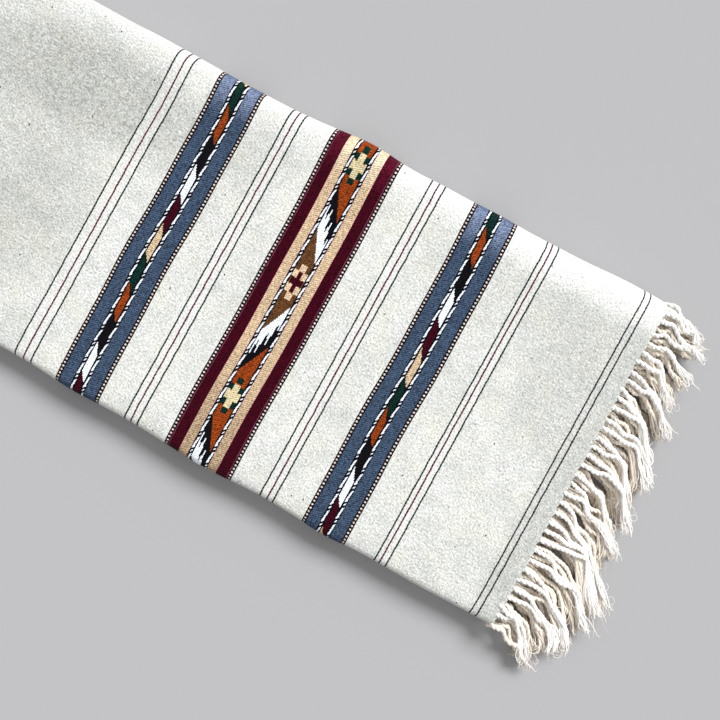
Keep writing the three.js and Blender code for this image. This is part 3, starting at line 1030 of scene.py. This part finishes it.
# Matted locks of a yarn: how many, range of radii, and how far they part.
LOCKS = ((4, (0.7, 1.0), 0.7), (10, (0.34, 0.6), 1.0))
LOOPS = 2.4
# Its single fibres: how many, stations, ranges of start, reach and radius, parting and curl.
STRAYS = (
    (8, 9, (0.5, 0.88), (0.12, 0.3), (0.09, 0.17), 1.8, 1.6),
    (10, 6, (0.0, 0.6), (0.05, 0.14), (0.06, 0.1), 2.0, 1.0),
)
# Shares for the row that shows, the rows below it and the edges: how frayed yarns are, how far
# their tips go to the tuft's points, and how far the yarns are drawn in to its middle.
FULL_ON_TOP = 1.0
FULL_BELOW = 0.5
FULL_AT_EDGE = 0.8
PULL_ON_TOP = (0.75, 1.0)
PULL_BELOW = (0.5, 0.95)
PULL_AT_EDGE = 0.85
DRAWN_ON_TOP = 0.95
DRAWN_BELOW = (0.2, 0.8)
DRAWN_AT_EDGE = 0.5
EDGE_FALL = 0.4  # share of its root's height where a yarn at an edge ends


def scatter(n):
    """A number from 0 to 1 that jumps about as n counts up, as in part.mjs."""
    v = math.sin(n * 12.9898 + 4.1414) * 43758.5453
    return v - math.floor(v)


def plain_tip(number, n, y, phase):
    """Where part.mjs has the tip of a strand, from above."""
    jitter = scatter(number * STRANDS + n) - 0.5
    tuft = 2 * math.pi * y / TUFT_PITCH + phase
    length = SHORTEST + LONGER_ACROSS * smooth(0.5 - y / STRIP_WIDTH)
    length += LENGTH_JITTER * jitter - TUFT_LONGER * math.cos(tuft)
    drift = DRIFT + DRIFT_MORE * math.exp(-((y - DRIFT_PEAK_Y) / DRIFT_REACH) ** 2)
    return ROOT_X + length, y - drift + TUFT_LEAN * math.sin(tuft)


def tuft_of(y):
    """Number of the tuft that a root at y belongs to."""
    return next(k for k, tuft in enumerate(TUFTS) if y >= tuft[2])


def fork_points(k, shift, rng):
    """The points that the frayed ends of tuft k gather to."""
    at = np.array(TUFTS[k][:2]) + shift
    middle = (FORKS - 1) / 2
    return [at + (rng.normal(0, 2.6), (n - middle) * 3.6 + rng.normal(0, 1.3)) for n in range(FORKS)]


def tuft_curve(k, shift, rng):
    """Plan of the middle of tuft k, from the cloth's edge to where its yarns end."""
    s = np.linspace(0, 1, YARN_STEPS)[:, None]
    bounds = [TUFTS_FROM_Y, *(tuft[2] for tuft in TUFTS[:-1]), TUFTS_TO_Y]
    start = np.array((ROOT_X - 2.8, (bounds[k] + bounds[k + 1]) / 2))
    end = np.array(TUFTS[k][:2]) + shift
    reach = end - start
    first = start + (reach[0] * rng.uniform(0.3, 0.5), rng.uniform(0.5, 6.0))
    second = end - (reach[0] * rng.uniform(0.05, 0.3), reach[1] * rng.uniform(0.35, 0.8))
    plan = (1 - s) ** 3 * start + 3 * s * (1 - s) ** 2 * first
    plan = plan + 3 * s ** 2 * (1 - s) * second + s ** 3 * end
    bend = rng.uniform(11, 15)
    phase = rng.uniform(0, 2 * math.pi, 2)
    sway = np.concatenate([0.8 * np.sin(bend * s + phase[0]), 1.4 * np.sin(bend * s + phase[1])], axis=1)
    return plan + smooth(s / 0.3) * sway


def yarn_path(curve, y, root, tip, tip_z, drawn, rng):
    """Middle of a yarn: out of the cloth's edge, in to its tuft's middle and down to its tip."""
    s = np.linspace(0, 1, YARN_STEPS)
    start = np.array((ROOT_X - 3.2 + rng.uniform(-1.7, 1.3), y + rng.normal(0, 0.6)))
    near = 1 - drawn * smooth(s / rng.uniform(0.5, 0.75))
    near *= 1 - smooth((s - 0.5) / 0.5)
    far = smooth((s - 0.25) / 0.75)
    plan = curve + near[:, None] * (start - curve[0]) + far[:, None] * (tip - curve[-1])
    own = rng.uniform(0, 2 * math.pi, 3)
    grow = smooth(s / 0.3)
    plan[:, 0] += grow * 0.5 * np.sin(17 * s + own[0])
    plan[:, 1] += grow * 0.75 * np.sin(21 * s + own[1]) + rng.normal(0, 1.1) * np.sin(math.pi * s)
    length = math.hypot(*(tip - start))
    height = root + 0.3 + (tip_z - root) * smooth(length * s / FALL_LENGTH * 1.05)
    height += rng.uniform(0.2, 2.0) * np.sin(math.pi * np.clip(s / 0.42, 0, 1)) ** 2
    height += 0.5 * grow * np.sin(11 * s + own[2])
    height -= 1.5 * (1 - smooth(s / 0.06))
    return np.column_stack([plan, height]), length


def unit(vectors):
    return vectors / np.maximum(np.linalg.norm(vectors, axis=1, keepdims=True), 1e-6)


def circle(sides):
    """Cosines and sines of the corners of a regular polygon."""
    angles = np.arange(sides) * 2 * math.pi / sides
    return np.cos(angles), np.sin(angles)


def tube(path, radius, sides):
    """Points and faces of a closed tube along a path that runs mostly level."""
    tangent = unit(np.gradient(path, axis=0))
    across = unit(np.cross((0.0, 0.0, 1.0), tangent))
    up = np.cross(tangent, across)
    cos, sin = circle(sides)
    ring = cos[None, :, None] * across[:, None] + sin[None, :, None] * up[:, None]
    points = path[:, None] + ring * np.asarray(radius)[:, None, None]
    index = np.arange(len(path) * sides).reshape(len(path), sides)
    a, b = index[:-1], index[1:]
    quads = np.stack([a, np.roll(a, -1, 1), np.roll(b, -1, 1), b], axis=-1).reshape(-1, 4)
    return points.reshape(-1, 3), quads, index[0][::-1], index[-1]


class Bundle:
    """Many tubes that make one piece, each with its own cell of the bake layout."""

    def __init__(self):
        self.points = []
        self.quads = []
        self.caps = []
        self.count = 0
        self.shapes = []

    def add(self, path, radius, sides):
        points, quads, first, last = tube(path, radius, sides)
        self.points.append(points)
        self.quads.append(quads + self.count)
        self.caps += [first + self.count, last + self.count]
        self.shapes.append((len(path), sides))
        self.count += len(points)

    def layout(self):
        """Corner coordinates for the quads and then the caps, in the order that build gives them."""
        cells = math.ceil(math.sqrt(len(self.shapes)))
        quads = []
        caps = []
        for n, (count, sides) in enumerate(self.shapes):
            corner = np.array([n % cells, n // cells])
            grid = np.meshgrid(np.arange(count - 1), np.arange(sides), indexing="ij")
            i, j = (v.reshape(-1) for v in grid)
            ring = ((j, i), (j + 1, i), (j + 1, i + 1), (j, i + 1))
            box = np.stack([np.stack(c, -1) for c in ring], axis=1)
            quads.append((box / (sides, count) * 0.84 + (0.08, 0.14) + corner).reshape(-1, 2))
            disc = np.stack(circle(sides), -1) * 0.04
            caps += [disc[::-1] + (0.3, 0.06) + corner, disc + (0.7, 0.06) + corner]
        return np.concatenate(quads + caps) / cells

    def build(self, name, material):
        faces = [*np.concatenate(self.quads), *self.caps]
        points = np.concatenate(self.points)
        moved = settle(points[:, 0], points[:, 1], points[:, 2])
        moved[:, 2] = np.maximum(moved[:, 2], 0.05)
        return new_object(name, moved, faces, {"OFBake": self.layout()}, material)


def along(path, s):
    """Points of a path at shares s of it, going straight on beyond its end."""
    shares = np.linspace(0, 1, len(path))
    inside = np.stack([np.interp(s, shares, path[:, k]) for k in range(3)], -1)
    return inside + np.maximum(s - 1, 0)[:, None] * (path[-1] - path[-4]) / (shares[-1] - shares[-4])


def add_plies(bundle, path, length, rng):
    """Two plies twisted round each other, which thin and part where the yarn frays."""
    s = np.linspace(0, PLY_END, YARN_STEPS)
    centre = along(path, s)
    turn = 2 * math.pi * s * length / TWIST_PITCH + rng.uniform(0, 2 * math.pi)
    fray = smooth((s - 0.45) / (PLY_END - 0.45))
    root = smooth(s / 0.03)
    plump = rng.uniform(0.9, 1.1)
    radius = plump * PLY_RADIUS * (1 - 0.62 * fray) * (0.85 + 0.15 * root)
    away = PLY_OFFSET * (1 + 0.6 * fray) * (0.8 + 0.2 * root)
    flatter = 1 - 0.4 * fray
    for ply in (0.0, math.pi):
        offset = np.stack([0 * s, away * np.cos(turn + ply), away * np.sin(turn + ply) * flatter], -1)
        bundle.add(centre + offset, radius, 5)


def add_strays(bundle, path, count, steps, starts, reach, radius, away, curl, rng):
    """Fibres that leave a yarn and curl."""
    for _ in range(count):
        start = rng.uniform(*starts)
        s = np.linspace(start, start + rng.uniform(*reach), steps)
        base = along(path, s)
        u = np.linspace(0, 1, steps)
        part = away * rng.normal(0, 1, 3) * (1.0, 1.0, 0.45)
        closing = rng.uniform(0.1, 1.0)
        base += part * (np.sin(math.pi * u) * (1 - closing) + u ** 1.4 * closing)[:, None]
        phase = rng.uniform(0, 2 * math.pi)
        turns = rng.uniform(3, 8)
        swing = curl * rng.uniform(0.2, 1.0) * u
        base += np.stack([swing * np.sin(turns * u + phase), swing * np.cos(turns * u + phase), 0 * u], -1)
        bundle.add(base, rng.uniform(*radius) * (1 - 0.78 * u ** 1.5), 3)


def add_lock(bundle, path, point, count, radius, away, rng):
    """Frayed ends of a yarn, matted together towards one point."""
    t = np.linspace(0, 1, 10)
    blend = smooth(t)[:, None]
    for _ in range(count):
        start = rng.uniform(0.42, 0.7)
        own = along(path, start + t * (1.02 - start))
        stray = 3.0 if rng.uniform() < 0.25 else 1.0
        end = point + rng.normal(0, 1, 3) * (1.6 * stray, 0.8 * stray, 0.4) * away
        lock = own * (1 - blend) + end * blend
        lock += rng.normal(0, 1, 3) * (1.3, 1.5, 0.6) * away * np.sin(math.pi * t)[:, None]
        phase = rng.uniform(0, 2 * math.pi, 2)
        lock[:, 0] += 0.6 * np.sin(2.9 * t) * np.sin(11 * t + phase[0])
        lock[:, 1] += 0.8 * np.sin(2.9 * t) * np.sin(13 * t + phase[1])
        bundle.add(lock, rng.uniform(*radius) * (1 - 0.85 * t ** 1.8), 4)


def add_loops(bundle, path, count, rng):
    """Single frayed fibres that curl round beside the tuft."""
    t = np.linspace(0, 1, 12)
    for _ in range(count):
        base = along(path, np.array([rng.uniform(0.6, 0.98)]))
        heading = rng.normal(-0.3, 1.1)
        radius = rng.uniform(1.4, 3.6)
        bend = rng.choice((-1, 1)) * rng.uniform(2.0, 5.0)
        turned = heading + bend * t
        ways = np.stack([np.cos(turned), np.sin(turned), 0.15 * np.sin(3 * t)], -1)
        steps = ways * radius * abs(bend) / len(t)
        bundle.add(base + np.cumsum(steps, axis=0), rng.uniform(0.15, 0.27) * (1 - 0.6 * t ** 2), 4)


def add_yarn(bundle, path, length, point, full, rng):
    """One yarn of the fringe, with full as its share of frayed ends and fibres."""
    add_plies(bundle, path, length, rng)
    for count, radius, away in LOCKS:
        add_lock(bundle, path, point, round(count * full), radius, away, rng)
    add_loops(bundle, path, round(LOOPS * full), rng)
    for count, *kind in STRAYS:
        add_strays(bundle, path, round(count * full), *kind, rng)


white_yarn = fringe_yarn("fringe_white", linear(253, 251, 248), linear(240, 235, 227))
# the rows below the top are the same wool, given a creamer and darker colour as painted shade
shaded_yarn = fringe_yarn("fringe_shaded", linear(246, 238, 227), linear(222, 207, 188))
bundles = {}
for row_number, (name, number, root, tip_z, start_y, stop_y, phase) in enumerate(ROWS):
    rng = np.random.default_rng(100 + row_number)
    bundle = bundles.setdefault(name, Bundle())
    on_top = name == "fringe_top"
    full = FULL_ON_TOP if on_top else FULL_BELOW
    shift = (0, 0) if on_top else (rng.uniform(-7, -3), rng.uniform(-2.5, 2.5))
    shapes = []
    for k in range(len(TUFTS)):
        group = np.random.default_rng(500 + 40 * row_number + k)
        shapes.append((fork_points(k, shift, group), tuft_curve(k, shift, group)))
    for n, y in enumerate(np.linspace(start_y + ROOT_MARGIN, stop_y - ROOT_MARGIN, STRANDS)):
        forks, curve = shapes[tuft_of(y)]
        point = forks[rng.integers(FORKS)]
        pull = rng.uniform(*(PULL_ON_TOP if on_top else PULL_BELOW))
        tip = np.array(plain_tip(number, n, y, phase))
        tip += (point - tip) * pull + rng.normal(0, 1, 2)
        drawn = DRAWN_ON_TOP if on_top else rng.uniform(*DRAWN_BELOW)
        path, length = yarn_path(curve, y, root, tip, tip_z, drawn, rng)
        point = np.array((*(tip + (point - tip) * 0.8), tip_z))
        add_yarn(bundle, path, length, point, full, rng)

rng = np.random.default_rng(7)
for name, (y, z, radius), angle in EDGE_YARNS:
    root_y = y + radius * math.cos(math.radians(angle))
    root_z = z + radius * math.sin(math.radians(angle))
    tip_z = root_z * EDGE_FALL
    k = tuft_of(root_y)
    tip = np.array(plain_tip(0, 0, root_y, 0.0))
    tip += (TUFTS[k][:2] - tip) * PULL_AT_EDGE + (0, math.copysign(rng.uniform(0, 6), y))
    curve = tuft_curve(k, (0, 0), rng)
    path, length = yarn_path(curve, root_y, root_z, tip, tip_z, DRAWN_AT_EDGE, rng)
    add_yarn(bundles[name], path, length, np.array((*tip, tip_z)), FULL_AT_EDGE, rng)

for name, bundle in bundles.items():
    piece = bundle.build(name + "_yarn", white_yarn if name == "fringe_top" else shaded_yarn)
    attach(piece, "root")
    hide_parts(name)
